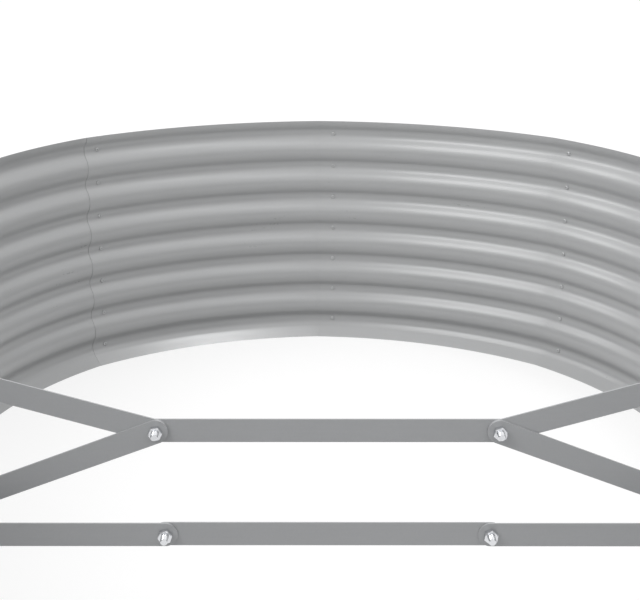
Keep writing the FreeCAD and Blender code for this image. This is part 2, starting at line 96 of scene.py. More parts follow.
class Value:
    """A number in a node graph, with arithmetic that makes Math nodes."""

    def __init__(self, graph: "Graph", source: bpy.types.NodeSocket | Number) -> None:
        """Wraps one source.

        Args:
            graph: The graph that new nodes go into.
            source: An output socket, or a plain number.
        """
        self.graph = graph
        self.source = source

    def _math(self, operation: str, *others: "Value | Number") -> "Value":
        """Makes one Math node with this value as its first input.

        Args:
            operation: The Math node's operation.
            others: The other inputs, in order.

        Returns:
            The node's output.
        """
        inputs = {index: value for index, value in enumerate((self, *others))}
        node = self.graph.make("ShaderNodeMath", {"operation": operation}, inputs)
        return Value(self.graph, node.outputs[0])

    def __add__(self, other: "Value | Number") -> "Value":
        """This value plus another."""
        return self._math("ADD", other)

    def __radd__(self, other: Number) -> "Value":
        """A number plus this value."""
        return self._math("ADD", other)

    def __sub__(self, other: "Value | Number") -> "Value":
        """This value less another."""
        return self._math("SUBTRACT", other)

    def __rsub__(self, other: Number) -> "Value":
        """A number less this value."""
        return Value(self.graph, other)._math("SUBTRACT", self)

    def __mul__(self, other: "Value | Number") -> "Value":
        """This value times another."""
        return self._math("MULTIPLY", other)

    def __rmul__(self, other: Number) -> "Value":
        """A number times this value."""
        return self._math("MULTIPLY", other)

    def ramp(self, low: float, high: float) -> "Value":
        """Smooth step from 0 at low to 1 at high.

        Args:
            low: Where the step starts.
            high: Where the step ends.

        Returns:
            The stepped value.
        """
        node = self.graph.make("ShaderNodeMapRange", {"interpolation_type": "SMOOTHSTEP"},
                               {"Value": self, "From Min": low, "From Max": high})
        return Value(self.graph, node.outputs["Result"])


class Graph:
    """A node tree with one method that makes every node."""

    def __init__(self, tree: bpy.types.NodeTree) -> None:
        """Empties a tree and takes charge of it.

        Args:
            tree: The node tree of a material or world.
        """
        self.tree = tree
        self.tree.nodes.clear()

    def make(self, kind: str, settings: dict[str, object] | None = None,
             sockets: dict[str | int, object] | None = None) -> bpy.types.Node:
        """Makes one node.

        Args:
            kind: The node's type name.
            settings: Attributes to set on the node.
            sockets: Inputs by name or number, each a constant, a Value or a socket.

        Returns:
            The new node.
        """
        node = self.tree.nodes.new(kind)
        for name, setting in (settings or {}).items():
            setattr(node, name, setting)
        for key, value in (sockets or {}).items():
            source = value.source if isinstance(value, Value) else value
            if isinstance(source, bpy.types.NodeSocket):
                self.tree.links.new(source, node.inputs[key])
            else:
                node.inputs[key].default_value = source
        return node

    def place(self) -> bpy.types.NodeSocket:
        """Position on the object, in metres."""
        return self.make("ShaderNodeTexCoord").outputs["Object"]

    def stretched(self, stretch: Sequence[float]) -> bpy.types.NodeSocket:
        """Position on the object, scaled along each axis.

        Args:
            stretch: One factor per axis; a large one packs a texture closer along it.

        Returns:
            The scaled position.
        """
        node = self.make("ShaderNodeMapping", {}, {"Vector": self.place(),
                                                   "Scale": tuple(stretch)})
        return node.outputs["Vector"]

    def noise(self, size: float, detail: float = 3.0,
              place: bpy.types.NodeSocket | None = None) -> Value:
        """Soft random value about zero, from -0.5 to 0.5.

        Args:
            size: Length of one blotch, in metres.
            detail: How many finer octaves it has.
            place: Position to read it at, by default the object's own.

        Returns:
            The centred noise.
        """
        node = self.make("ShaderNodeTexNoise", {"noise_dimensions": "3D"},
                         {"Vector": place or self.place(), "Scale": 1.0 / size,
                          "Detail": detail, "Roughness": OCTAVE_SHARE})
        return Value(self, node.outputs[0]) - 0.5

    def tint(self, colour: Sequence[float], strength: Value) -> bpy.types.NodeSocket:
        """A colour made lighter or darker by a value.

        Args:
            colour: Red, green and blue, linear.
            strength: What the colour is multiplied by.

        Returns:
            The colour socket.
        """
        node = self.make("ShaderNodeVectorMath", {"operation": "SCALE"},
                         {0: tuple(colour), "Scale": strength})
        return node.outputs["Vector"]

    def blend(self, low: Sequence[float], high: Sequence[float],
              factor: Value) -> bpy.types.NodeSocket:
        """A mix of two colours.

        Args:
            low: The colour at factor 0.
            high: The colour at factor 1.
            factor: How far the mix has gone.

        Returns:
            The colour socket.
        """
        node = self.make("ShaderNodeMix", {"data_type": "RGBA"},
                         {0: factor, 6: (*low, 1.0), 7: (*high, 1.0)})
        return node.outputs[2]

    def bump(self, height: Value, depth: float) -> bpy.types.NodeSocket:
        """A normal disturbed by a height.

        Args:
            height: The surface's height, about zero to one.
            depth: What one unit of that height is, in metres.

        Returns:
            The normal socket.
        """
        node = self.make("ShaderNodeBump", {}, {"Height": height, "Distance": depth,
                                                "Strength": 1.0})
        return node.outputs["Normal"]


# ------------------------------------------------------------------------- finishes


@dataclass(frozen=True)
class Finish:
    """A metal finish whose colour, gloss and relief vary as the real one's do.

    Sizes and relief are in metres, and each contrast is a share of the colour.
    """

    name: str
    colour: Colour
    metallic: float
    roughness: float
    spangle_size: float
    spangle_contrast: float
    blotch_size: float
    blotch_contrast: float
    grain_stretch: tuple[float, float, float]
    grain_size: float
    grain_contrast: float
    relief: float
    spangle_gloss: float = 0.02   # how much each changes the roughness
    blotch_gloss: float = 0.10
    grain_gloss: float = 0.05
    spangle_detail: float = 1.0   # how many finer octaves each has
    grain_detail: float = 2.0
    mean_height: float = 0.5
    grain_height: float = 0.6     # the grain's height, over the blotches'

    def build(self) -> bpy.types.Material:
        """Makes the material.

        Returns:
            The new material.
        """
        material = bpy.data.materials.new(self.name)
        material.use_nodes = True
        graph = Graph(material.node_tree)
        spangle = graph.noise(self.spangle_size, self.spangle_detail)
        blotches = graph.noise(self.blotch_size)
        grain = graph.noise(self.grain_size, self.grain_detail,
                            graph.stretched(self.grain_stretch))
        shade = (1.0 + self.spangle_contrast * spangle + self.blotch_contrast * blotches
                 + self.grain_contrast * grain)
        gloss = (self.roughness + self.spangle_gloss * spangle + self.blotch_gloss * blotches
                 + self.grain_gloss * grain)
        height = self.mean_height + blotches + self.grain_height * grain
        shader = graph.make("ShaderNodeBsdfPrincipled", {}, {
            "Base Color": graph.tint(self.colour, shade),
            "Roughness": gloss,
            "Metallic": self.metallic,
            "Normal": graph.bump(height, self.relief),
        })
        graph.make("ShaderNodeOutputMaterial", {}, {"Surface": shader.outputs[0]})
        return material


SCREW_FINISH = Finish(
    name="dull_zinc_screw", colour=(0.52, 0.526, 0.53), metallic=0.3, roughness=0.42,
    spangle_size=0.0008, spangle_contrast=0.05, blotch_size=0.01, blotch_contrast=0.10,
    grain_stretch=(1.0, 1.0, 1.0), grain_size=0.001, grain_contrast=0.05, relief=0.00001)
WALL_FINISH = Finish(
    name="zinc_aluminium_sheet", colour=(0.445, 0.45, 0.454), metallic=0.12,
    roughness=0.30, spangle_size=0.0035, spangle_contrast=0.04, blotch_size=0.16,
    blotch_contrast=0.05, grain_stretch=(1.0, 1.0, 14.0), grain_size=0.05,
    grain_contrast=0.04, relief=0.00003)
STRAP_FINISH = Finish(
    name="galvanised_strap", colour=(0.405, 0.411, 0.42), metallic=0.2, roughness=0.5,
    spangle_size=0.0022, spangle_contrast=0.06, blotch_size=0.09, blotch_contrast=0.08,
    grain_stretch=(1.0, 8.0, 12.0), grain_size=0.03, grain_contrast=0.05, relief=0.00003)
ZINC_FINISH = Finish(
    name="bright_zinc_plate", colour=(0.72, 0.73, 0.75), metallic=1.0, roughness=0.24,
    spangle_size=0.0009, spangle_contrast=0.05, blotch_size=0.006, blotch_contrast=0.12,
    grain_stretch=(1.0, 1.0, 1.0), grain_size=0.0012, grain_contrast=0.06, relief=0.00002)


# ------------------------------------------------------------------------- mesh helpers


def add_object(name: str, mesh: bpy.types.Mesh, material: bpy.types.Material,
               sharp_degrees: float) -> bpy.types.Object:
    """Puts a mesh in the scene, smooth but for its sharp edges.

    Args:
        name: Name of the new object.
        mesh: Its mesh, placed in the row frame.
        material: Its only material.
        sharp_degrees: Edges that turn by more than this stay sharp.

    Returns:
        The new object.
    """
    mesh.materials.append(material)
    mesh.shade_smooth()
    mesh.set_sharp_from_angle(angle=math.radians(sharp_degrees))
    piece = bpy.data.objects.new(name, mesh)
    bpy.context.collection.objects.link(piece)
    return piece


def mesh_from(name: str, points: Sequence[Vector],
              faces: Sequence[Sequence[int]]) -> bpy.types.Mesh:
    """Makes a mesh with its faces turned outwards.

    Args:
        name: Name of the mesh.
        points: Its corners.
        faces: Corner numbers of each face.

    Returns:
        The mesh.
    """
    mesh = bpy.data.meshes.new(name)
    mesh.from_pydata([tuple(point) for point in points], [], faces)
    work = bmesh.new()
    work.from_mesh(mesh)
    bmesh.ops.recalc_face_normals(work, faces=work.faces[:])
    work.to_mesh(mesh)
    work.free()
    return mesh


def copies_of(name: str, master: bpy.types.Mesh,
              places: Iterable[Matrix]) -> bpy.types.Mesh:
    """Joins moved copies of one mesh.

    Args:
        name: Name of the joined mesh.
        master: The mesh to copy.
        places: Where each copy goes.

    Returns:
        The joined mesh.
    """
    work = bmesh.new()
    for place in places:
        first = len(work.verts)
        work.from_mesh(master)
        work.verts.ensure_lookup_table()
        bmesh.ops.transform(work, matrix=place, verts=work.verts[first:])
    mesh = bpy.data.meshes.new(name)
    work.to_mesh(mesh)
    work.free()
    return mesh


def joined(name: str, parts: Iterable[Rings]) -> bpy.types.Mesh:
    """Joins lists of points and faces in one mesh.

    Args:
        name: Name of the mesh.
        parts: Points and faces of each part.

    Returns:
        The mesh.
    """
    points: list[Vector] = []
    faces: list[list[int]] = []
    for part_points, part_faces in parts:
        first = len(points)
        points += part_points
        faces += [[first + index for index in face] for face in part_faces]
    return mesh_from(name, points, faces)


def bands(rings: int, count: int) -> list[list[int]]:
    """Faces between neighbouring rings of points.

    Args:
        rings: How many rings there are.
        count: How many points each ring has.

    Returns:
        Corner numbers of each face.
    """
    faces: list[list[int]] = []
    for first in range(0, (rings - 1) * count, count):
        for side in range(count):
            after = (side + 1) % count
            faces.append([first + side, first + after,
                          first + count + after, first + count + side])
    return faces


def off_flat(angle: float) -> float:
    """How far an angle is from the middle of the nearest flat of a hexagon."""
    return (angle + math.pi / 6) % (math.pi / 3) - math.pi / 6


def clipped(points: Sequence[Point2], low: float, high: float) -> list[Point2]:
    """Cuts a line that climbs to a range of heights.

    Args:
        points: Points as (distance, height), climbing.
        low: Lowest height kept.
        high: Highest height kept.

    Returns:
        The line with new end points at both heights.
    """
    kept: list[Point2] = []
    for (r0, z0), (r1, z1) in zip(points, points[1:]):
        for limit in (low, high):
            if z0 < limit < z1:
                kept.append((r0 + (r1 - r0) * (limit - z0) / (z1 - z0), limit))
        if low <= z1 <= high:
            kept.append((r1, z1))
    return kept


def mitres(points: Sequence[Point2]) -> list[Point2]:
    """Steps that offset an open line to its left by one, with level ends.

    Args:
        points: The line's points.

    Returns:
        One step per point.
    """
    normals: list[Point2] = []
    for (r0, z0), (r1, z1) in zip(points, points[1:]):
        length = math.hypot(r1 - r0, z1 - z0)
        normals.append(((z0 - z1) / length, (r1 - r0) / length))
    steps: list[Point2] = []
    for a, b in zip([normals[0]] + normals, normals + [normals[-1]]):
        share = 1 + a[0] * b[0] + a[1] * b[1]
        steps.append(((a[0] + b[0]) / share, (a[1] + b[1]) / share))
    for end in (0, -1):
        steps[end] = (1.0 / steps[end][0], 0.0)
    return steps


def along_axis(point: Vector, direction: Vector, turn: float) -> Matrix:
    """Placement of a fastener whose +Z points along a direction.

    Args:
        point: Where its seat goes.
        direction: Which way its head faces.
        turn: How far it is turned about itself, in radians.

    Returns:
        The placement.
    """
    tilt = Vector((0.0, 0.0, 1.0)).rotation_difference(direction).to_matrix().to_4x4()
    return Matrix.Translation(point) @ tilt @ Matrix.Rotation(turn, 4, "Z")


def cad_solids(node: str) -> list[tuple[Vector, Vector]]:
    """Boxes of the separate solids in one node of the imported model.

    Args:
        node: The node's name.

    Returns:
        The lowest and highest corner of each solid.
    """
    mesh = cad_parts[node].data
    merged: dict[tuple[int, ...], int] = {}
    same = [merged.setdefault(tuple(round(c / SAME_PLACE) for c in vertex.co), vertex.index)
            for vertex in mesh.vertices]
    leader = {index: index for index in same}

    def find(index: int) -> int:
        """Follows the leaders from one corner to its solid's own.

        Args:
            index: Number of the corner.

        Returns:
            Number of the corner that stands for its solid.
        """
        while leader[index] != index:
            leader[index] = leader[leader[index]]
            index = leader[index]
        return index

    for polygon in mesh.polygons:
        corners = [find(same[index]) for index in polygon.vertices]
        for other in corners[1:]:
            leader[find(other)] = find(corners[0])
    solids: dict[int, list[Vector]] = {}
    for vertex in mesh.vertices:
        solids.setdefault(find(same[vertex.index]), []).append(vertex.co)
    return [(Vector(map(min, *points)), Vector(map(max, *points)))
            for points in solids.values()]


# ------------------------------------------------------------------------- fasteners


@dataclass(frozen=True)
class Fastener:
    """A bolt or screw with its nut, both along Z with their seats at zero.

    The widths of a hexagon are across its flats. The grip is the plain part of the shank.
    """

    shank: float
    length: float
    width: float
    head_height: float
    nut_height: float
    thread_pitch: float
    grip: float
    sides: int = 24               # points round the shank
    head: Head = Head.HEXAGON
    nut_width: float | None = None
    rounds: int = 36              # points round a hexagon
    corner_degrees: float = 28.0  # slope of its turned-off corners
    turned_share: float = 0.95    # where they start, of half the width
    seat_share: float = 0.93      # edge of the seat, of half the width
    seat_rise: float = 0.25 * MM  # height of the bevel at the seat
    socket_share: float = 0.2     # socket of a button head, of the head's width
    socket_floor: float = 0.45    # level of its floor, of the head's height
    brim_share: float = 1.1       # end of the dome, over the socket
    rim_share: float = 0.2        # upright rim, of the head's height
    dome_steps: int = 5
    dome_rounds: int = 24         # points round a button head
    thread_share: float = 0.54    # depth of the thread, over its pitch
    steps_per_turn: int = 4       # rings of points in one turn of the thread
    tip_length: float = 1.2       # bevelled tip, in depths of the thread
    tip_slope: float = 0.8        # how much it narrows over its length

    def pieces(self, bolt_name: str, nut_name: str, heads: Sequence[Matrix],
               nuts: Sequence[Matrix], finish: bpy.types.Material,
               replaced: tuple[str, str] | None = None) -> None:
        """Makes one object of all the bolts and one of all the nuts.

        Args:
            bolt_name: Name of the bolts' object.
            nut_name: Name of the nuts' object.
            heads: Where each bolt's head sits.
            nuts: Where each nut sits.
            finish: Their material.
            replaced: CAD nodes that the two objects stand for, if any.
        """
        jobs = ((bolt_name, self.bolt_mesh(), heads), (nut_name, self.nut_mesh(), nuts))
        for number, (name, master, places) in enumerate(jobs):
            piece = add_object(name, copies_of(name, master, places), finish,
                               CRISP_DEGREES)
            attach(piece, BODY)
            if replaced:
                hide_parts(replaced[number])
            LOG.info("%s: %d of them, %d faces", name, len(places),
                     len(piece.data.polygons))

    def bolt_mesh(self) -> bpy.types.Mesh:
        """Bolt with its head above the seat and its thread below.

        Returns:
            The mesh.
        """
        if self.head is Head.BUTTON:
            top = self._button()
        else:
            top = self._hexagon(self.width, self.head_height, 0.0)
        return joined("bolt", (top, self._thread()))

    def nut_mesh(self) -> bpy.types.Mesh:
        """Nut with its seat at zero and its body below."""
        width = self.nut_width or self.width
        return joined("nut", (self._hexagon(width, -self.nut_height, self.shank / 2),))

    def _button(self) -> Rings:
        """Low domed head with a hexagon socket, above the seat.

        Returns:
            Points and faces.
        """
        count = self.dome_rounds
        socket = self.width * self.socket_share
        dome = self.width / 2 - socket
        profile = [(self.width / 2, 0.0), (self.width / 2, self.head_height * self.rim_share)]
        for step in range(1, self.dome_steps + 1):
            turn = math.pi / 2 * step / self.dome_steps
            level = self.rim_share + (1 - self.rim_share) * math.sin(turn)
            profile.append((self.brim_share * socket + dome * math.cos(turn),
                            self.head_height * level))
        profile += [(socket, self.head_height), (socket, self.head_height * self.socket_floor)]
        points: list[Vector] = []
        for radius, level in profile:
            for step in range(count):
                angle = 2 * math.pi * step / count
                spread = radius
                if radius == socket:
                    spread *= math.cos(math.pi / 6) / math.cos(off_flat(angle))
                points.append(Vector((spread * math.cos(angle), spread * math.sin(angle),
                                      level)))
        faces = bands(len(profile), count)
        faces.append(list(range(len(points) - count, len(points))))
        faces.append(list(range(count)))
        return points, faces

    def _hexagon(self, width: float, height: float, bore: float) -> Rings:
        """Hexagon between the seat and a height, its corners turned off at the far face.

        Args:
            width: Size across its flats.
            height: Where the far face is, below zero for a nut.
            bore: Radius of the hole through it, or zero.

        Returns:
            Points and faces.
        """
        count = self.rounds
        flat = width / 2
        corner = flat / math.cos(math.pi / 6)
        turned = flat * self.turned_share
        slope = math.tan(math.radians(self.corner_degrees))
        way = math.copysign(1.0, height)
        near = self.seat_rise * way
        profile = [(bore, 0.0), (flat * self.seat_share, 0.0), (corner, near),
                   (corner, height), (turned, height), (bore, height)]
        points: list[Vector] = []
        for radius, level in profile:
            for step in range(count):
                angle = 2 * math.pi * step / count
                reach = flat / math.cos(off_flat(angle))
                cut = max(0.0, reach - turned) * slope * way
                at = level
                if radius == corner:
                    at = height - cut if level == height else near + cut / 2
                spread = min(radius, reach)
                points.append(Vector((spread * math.cos(angle), spread * math.sin(angle), at)))
        faces = bands(len(profile), count)
        if bore > 0.0:
            last = len(points) - count
            for step in range(count):
                after = (step + 1) % count
                faces.append([last + step, last + after, after, step])
        return points, faces

    def _thread(self) -> Rings:
        """Shank with a rolled thread and a bevelled tip, below the seat.

        Returns:
            Points and faces.
        """
        depth = self.thread_share * self.thread_pitch
        threaded = self.length - self.grip
        steps = max(self.steps_per_turn,
                    int(self.steps_per_turn * threaded / self.thread_pitch))
        levels = [0.0, self.grip]
        levels += [self.grip + threaded * step / steps for step in range(1, steps + 1)]
        points: list[Vector] = []
        for level in levels:
            for side in range(self.sides):
                angle = 2 * math.pi * side / self.sides
                phase = (level / self.thread_pitch - side / self.sides) % 1.0
                groove = depth * (1 - abs(2 * phase - 1)) if level > self.grip else 0.0
                tip = max(0.0, level - (self.length - self.tip_length * depth))
                reach = self.shank / 2 - groove - self.tip_slope * tip
                points.append(Vector((reach * math.cos(angle), reach * math.sin(angle),
                                      -level)))
        faces = bands(len(levels), self.sides)
        faces.append(list(range(len(points) - self.sides, len(points))))
        faces.append(list(range(self.sides)))
        return points, faces


SEAM_SCREW = Fastener(shank=3 * MM, length=6 * MM, width=6.2 * MM, head_height=2.2 * MM,
                      nut_height=2.4 * MM, thread_pitch=1.0 * MM, grip=1.6 * MM, sides=12,
                      head=Head.BUTTON, nut_width=5.5 * MM)
WALL_BOLT = Fastener(shank=4 * MM, length=20 * MM, width=7 * MM, head_height=2.8 * MM,
                     nut_height=3.2 * MM, thread_pitch=0.7 * MM, grip=3 * MM, sides=16)
JOINT_BOLT = Fastener(shank=8 * MM, length=20 * MM, width=13 * MM, head_height=5.3 * MM,
                      nut_height=6.5 * MM, thread_pitch=1.25 * MM, grip=2 * MM)


# ------------------------------------------------------------------------- the wall


@dataclass(frozen=True)
class Wave:
    """Section of the corrugated sheet: broad ridges inside, tighter valleys between.

    Each half is half the height of a crest, and the hem is the lip at the ground.
    """

    height: float
    pitch: float = 52 * MM
    depth: float = 10 * MM
    valley_half: float = 9 * MM   # of the crests that face outwards
    ridge_half: float = 14.5 * MM  # of the crests that face inwards
    first_row: float = 26 * MM    # ground to the lowest outward crest
    thickness: float = 0.6 * MM
    crest_steps: int = 10
    hem_height: float = 14 * MM
    hem_lean: float = 50.0        # degrees from upright that the hem bends towards
    hem_turn: float = 0.6         # share of the bend still to go that a step takes
    hem_steps: int = 7
    flattest_flank: float = 60.0  # degrees from upright, where the search starts
    halvings: int = 40

    @cached_property
    def flank_angle(self) -> float:
        """Finds the lean of the flanks that gives the depth.

        Returns:
            The angle from upright, in radians.
        """
        low, high = 0.0, math.radians(self.flattest_flank)
        for _ in range(self.halvings):
            middle = (low + high) / 2
            if self._depth_at(middle) < self.depth:
                low = middle
            else:
                high = middle
        return low

    def _depth_at(self, lean: float) -> float:
        """Depth of a wave whose flanks lean by an angle.

        Args:
            lean: The angle from upright.

        Returns:
            The depth from inner to outer crest.
        """
        rounded = self.valley_half + self.ridge_half
        flank = (self.pitch / 2 - rounded) * math.tan(lean)
        return flank + rounded * math.tan(lean / 2)

    @property
    def rows(self) -> list[float]:
        """Heights of the outer crests, which carry the screws."""
        count = int((self.height - self.first_row) / self.pitch) + 1
        return [self.first_row + self.pitch * index for index in range(count)]

    def line(self) -> list[Point2]:
        """Mid-sheet line from the ground up.

        Returns:
            Points as (distance outwards, height).
        """
        points: list[Point2] = []
        for crest in range(-1, 2 * len(self.rows)):
            middle = self.first_row + crest * self.pitch / 2
            side, half = ((1.0, self.valley_half) if crest % 2 == 0
                          else (-1.0, self.ridge_half))
            radius = half / math.sin(self.flank_angle)
            for step in range(self.crest_steps + 1):
                turn = self.flank_angle * (2 * step / self.crest_steps - 1)
                sag = radius * (1 - math.cos(turn))
                points.append((side * (self.depth / 2 - sag),
                               middle + radius * math.sin(turn)))
        return self._hem(clipped(points, self.hem_height, self.height))

    def _hem(self, points: list[Point2]) -> list[Point2]:
        """Adds the lip that leans in at the ground under the lowest flank.

        Args:
            points: The line above the lip.

        Returns:
            The line down to the ground.
        """
        (r0, z0), (r1, z1) = points[:2]
        slope = (r1 - r0) / (z1 - z0)
        steepest = math.tan(math.radians(self.hem_lean))
        drop = self.hem_height / self.hem_steps
        lip: list[Point2] = []
        reach = r0
        for step in range(1, self.hem_steps + 1):
            slope += (steepest - slope) * self.hem_turn
            reach -= slope * drop
            lip.append((reach, self.hem_height - drop * step))
        return lip[::-1] + points


@dataclass(frozen=True)
class Station:
    """One place along a panel in plan."""

    point: Vector
    outward: Vector


@dataclass(frozen=True)
class Oval:
    """Plan of the bed: curved panels round two ends, straight ones between.

    The layer is how far the outer sheet of a lap lies from the inner one.
    """

    end_radius: float = 500 * MM
    end_centre: float = 390 * MM  # middle of the bed to the middle of a round end
    panel_bow: float = 33 * MM    # rise of a curved panel over its chord
    panels_per_end: int = 4
    panels_per_side: int = 2
    layer: float = 0.68 * MM
    lap: float = 44 * MM          # how far a panel runs behind the next
    screw_inset: float = 22 * MM
    curve_steps: int = 30
    straight_steps: int = 4
    tail_steps: int = 3

    @cached_property
    def corners(self) -> list[Vector]:
        """Finds the panels' corners, clockwise from above, from the left side's rear.

        Returns:
            The corners on the ground.
        """
        found: list[Vector] = []
        for way, first in ((1.0, 180.0), (-1.0, 0.0)):
            for step in range(self.panels_per_end + 1):
                angle = math.radians(first - 180.0 * step / self.panels_per_end)
                found.append(Vector((self.end_radius * math.cos(angle),
                                     way * self.end_centre
                                     + self.end_radius * math.sin(angle), 0.0)))
            found += self._side_corners(way)
        return found

    def _side_corners(self, side: float) -> list[Vector]:
        """Corners along one straight side, between its ends.

        Args:
            side: 1 for the right side, -1 for the left.

        Returns:
            The corners, clockwise.
        """
        step = 2 * self.end_centre / self.panels_per_side
        return [Vector((side * self.end_radius, side * (self.end_centre - step * count), 0.0))
                for count in range(1, self.panels_per_side)]

    def names(self) -> list[str]:
        """Lists the panels' node names, in the corners' order.

        Returns:
            The names.
        """
        groups = (("rear_end", self.panels_per_end), ("right_side", self.panels_per_side),
                  ("front_end", self.panels_per_end), ("left_side", self.panels_per_side))
        return [f"{group}_panel_{number + 1}" for group, count in groups
                for number in range(count)]

    def place_at(self, index: int, run: float) -> Station:
        """One place along a panel.

        Args:
            index: Number of the panel.
            run: Distance along its surface from its first corner.

        Returns:
            The place and which way is outwards there.
        """
        start, end = self._ends(index)
        along = (end - start).normalized()
        outward = Vector((-along.y, along.x, 0.0))
        if self._is_straight(index):
            return Station(start + along * run, outward)
        turn = run / self._bend_radius(index) - self._half_turn(index)
        side = math.sin(turn) + math.sin(self._half_turn(index))
        rise = math.cos(turn) - math.cos(self._half_turn(index))
        point = start + (along * side + outward * rise) * self._bend_radius(index)
        return Station(point, outward * math.cos(turn) + along * math.sin(turn))

    def _ends(self, index: int) -> tuple[Vector, Vector]:
        """First and last corner of a panel."""
        count = len(self.corners)
        return self.corners[index % count], self.corners[(index + 1) % count]

    def _is_straight(self, index: int) -> bool:
        """Whether a panel belongs to one of the straight sides."""
        return "side" in self.names()[index % len(self.corners)]

    def _bend_radius(self, index: int) -> float:
        """Radius that a curved panel is rolled to."""
        start, end = self._ends(index)
        return ((end - start).length ** 2 / 4 + self.panel_bow ** 2) / (2 * self.panel_bow)

    def _half_turn(self, index: int) -> float:
        """Half the angle that a curved panel turns through."""
        start, end = self._ends(index)
        return math.asin((end - start).length / 2 / self._bend_radius(index))

    def length(self, index: int) -> float:
        """Length of a panel between its corners, along its surface.

        Args:
            index: Number of the panel.

        Returns:
            The length.
        """
        start, end = self._ends(index)
        if self._is_straight(index):
            return (end - start).length
        return 2 * self._half_turn(index) * self._bend_radius(index)

    def sheet_line(self, index: int) -> list[Station]:
        """Stations along one sheet, with the tail that runs behind its neighbour.

        Args:
            index: Number of the panel.

        Returns:
            The stations, shifted from the inner layer to the outer one.
        """
        steps = self.straight_steps if self._is_straight(index) else self.curve_steps
        stations: list[Station] = []
        for step in range(steps + 1):
            place = self.place_at(index, self.length(index) * step / steps)
            shift = self.layer * (step / steps - 0.5)
            stations.append(Station(place.point + place.outward * shift, place.outward))
        for step in range(1, self.tail_steps + 1):
            place = self.place_at(index + 1, self.lap * step / self.tail_steps)
            stations.append(Station(place.point + place.outward * self.layer / 2,
                                    place.outward))
        return stations

    def seam(self, index: int) -> Station:
        """Where the screws of one seam stand in plan.

        Args:
            index: Number of the panel whose edge lies inside at this seam.

        Returns:
            The place on the mean wall surface.
        """
        return self.place_at(index, self.screw_inset)


@dataclass
class Wall:
    """The ring of corrugated panels and the screws in its seams.

    On the shared rows of the middle seams, the braces' bolts stand in for the screws.
    """

    oval: Oval
    wave: Wave
    sheet_finish: bpy.types.Material
    screw_finish: bpy.types.Material
    screw: Fastener
    shared_rows: tuple[int, ...] = (1, -2)
    screw_turn: float = 0.4       # radians from one screw to the next
    sharp_degrees: float = 50.0

    def build(self) -> None:
        """Makes every panel and every seam screw."""
        for index, name in enumerate(self.oval.names()):
            piece = add_object(f"{name}_sheet", self._panel_mesh(index),
                               self.sheet_finish, self.sharp_degrees)
            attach(piece, BODY)
            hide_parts(name)
            LOG.info("panel %s: %d faces", name, len(piece.data.polygons))
        self._seam_screws()

    def _panel_mesh(self, index: int) -> bpy.types.Mesh:
        """Closed mesh of one sheet.

        Args:
            index: Number of the panel.

        Returns:
            The mesh.
        """
        line = self.wave.line()
        lean = mitres(line)
        half = self.wave.thickness / 2
        ring = [(r - half * u, z - half * v) for (r, z), (u, v) in zip(line, lean)]
        ring += [(r + half * u, z + half * v) for (r, z), (u, v) in zip(line, lean)][::-1]
        stations = self.oval.sheet_line(index)
        points = [s.point + s.outward * r + Vector((0.0, 0.0, z))
                  for s in stations for r, z in ring]
        count = len(ring)
        faces = bands(len(stations), count)
        for start in (0, (len(stations) - 1) * count):
            for side in range(count // 2 - 1):
                faces.append([start + side, start + side + 1,
                              start + count - 2 - side, start + count - 1 - side])
        return mesh_from(f"{self.oval.names()[index]}_mesh", points, faces)

    def _seam_screws(self) -> None:
        """Makes the screws and nuts of every seam but those the braces share."""
        middle = self.oval.panels_per_end + self.oval.panels_per_side // 2
        half_round = self.oval.panels_per_end + self.oval.panels_per_side
        shared = {self.wave.rows[row] for row in self.shared_rows}
        outer = self.wave.depth / 2 + (self.oval.layer + self.wave.thickness) / 2
        inner = self.wave.depth / 2 - (self.oval.layer + self.wave.thickness) / 2
        heads: list[Matrix] = []
        nuts: list[Matrix] = []
        for index in range(len(self.oval.corners)):
            place = self.oval.seam(index)
            for row in self.wave.rows:
                if index % half_round == middle % half_round and row in shared:
                    continue
                spot = place.point + Vector((0.0, 0.0, row))
                turn = self.screw_turn * (index + row / self.wave.pitch)
                heads.append(along_axis(spot + place.outward * inner, -place.outward, turn))
                nuts.append(along_axis(spot + place.outward * outer, -place.outward, -turn))
        self.screw.pieces("seam_screws", "seam_screw_nuts", heads, nuts,
                          self.screw_finish)


# ------------------------------------------------------------------------- braces


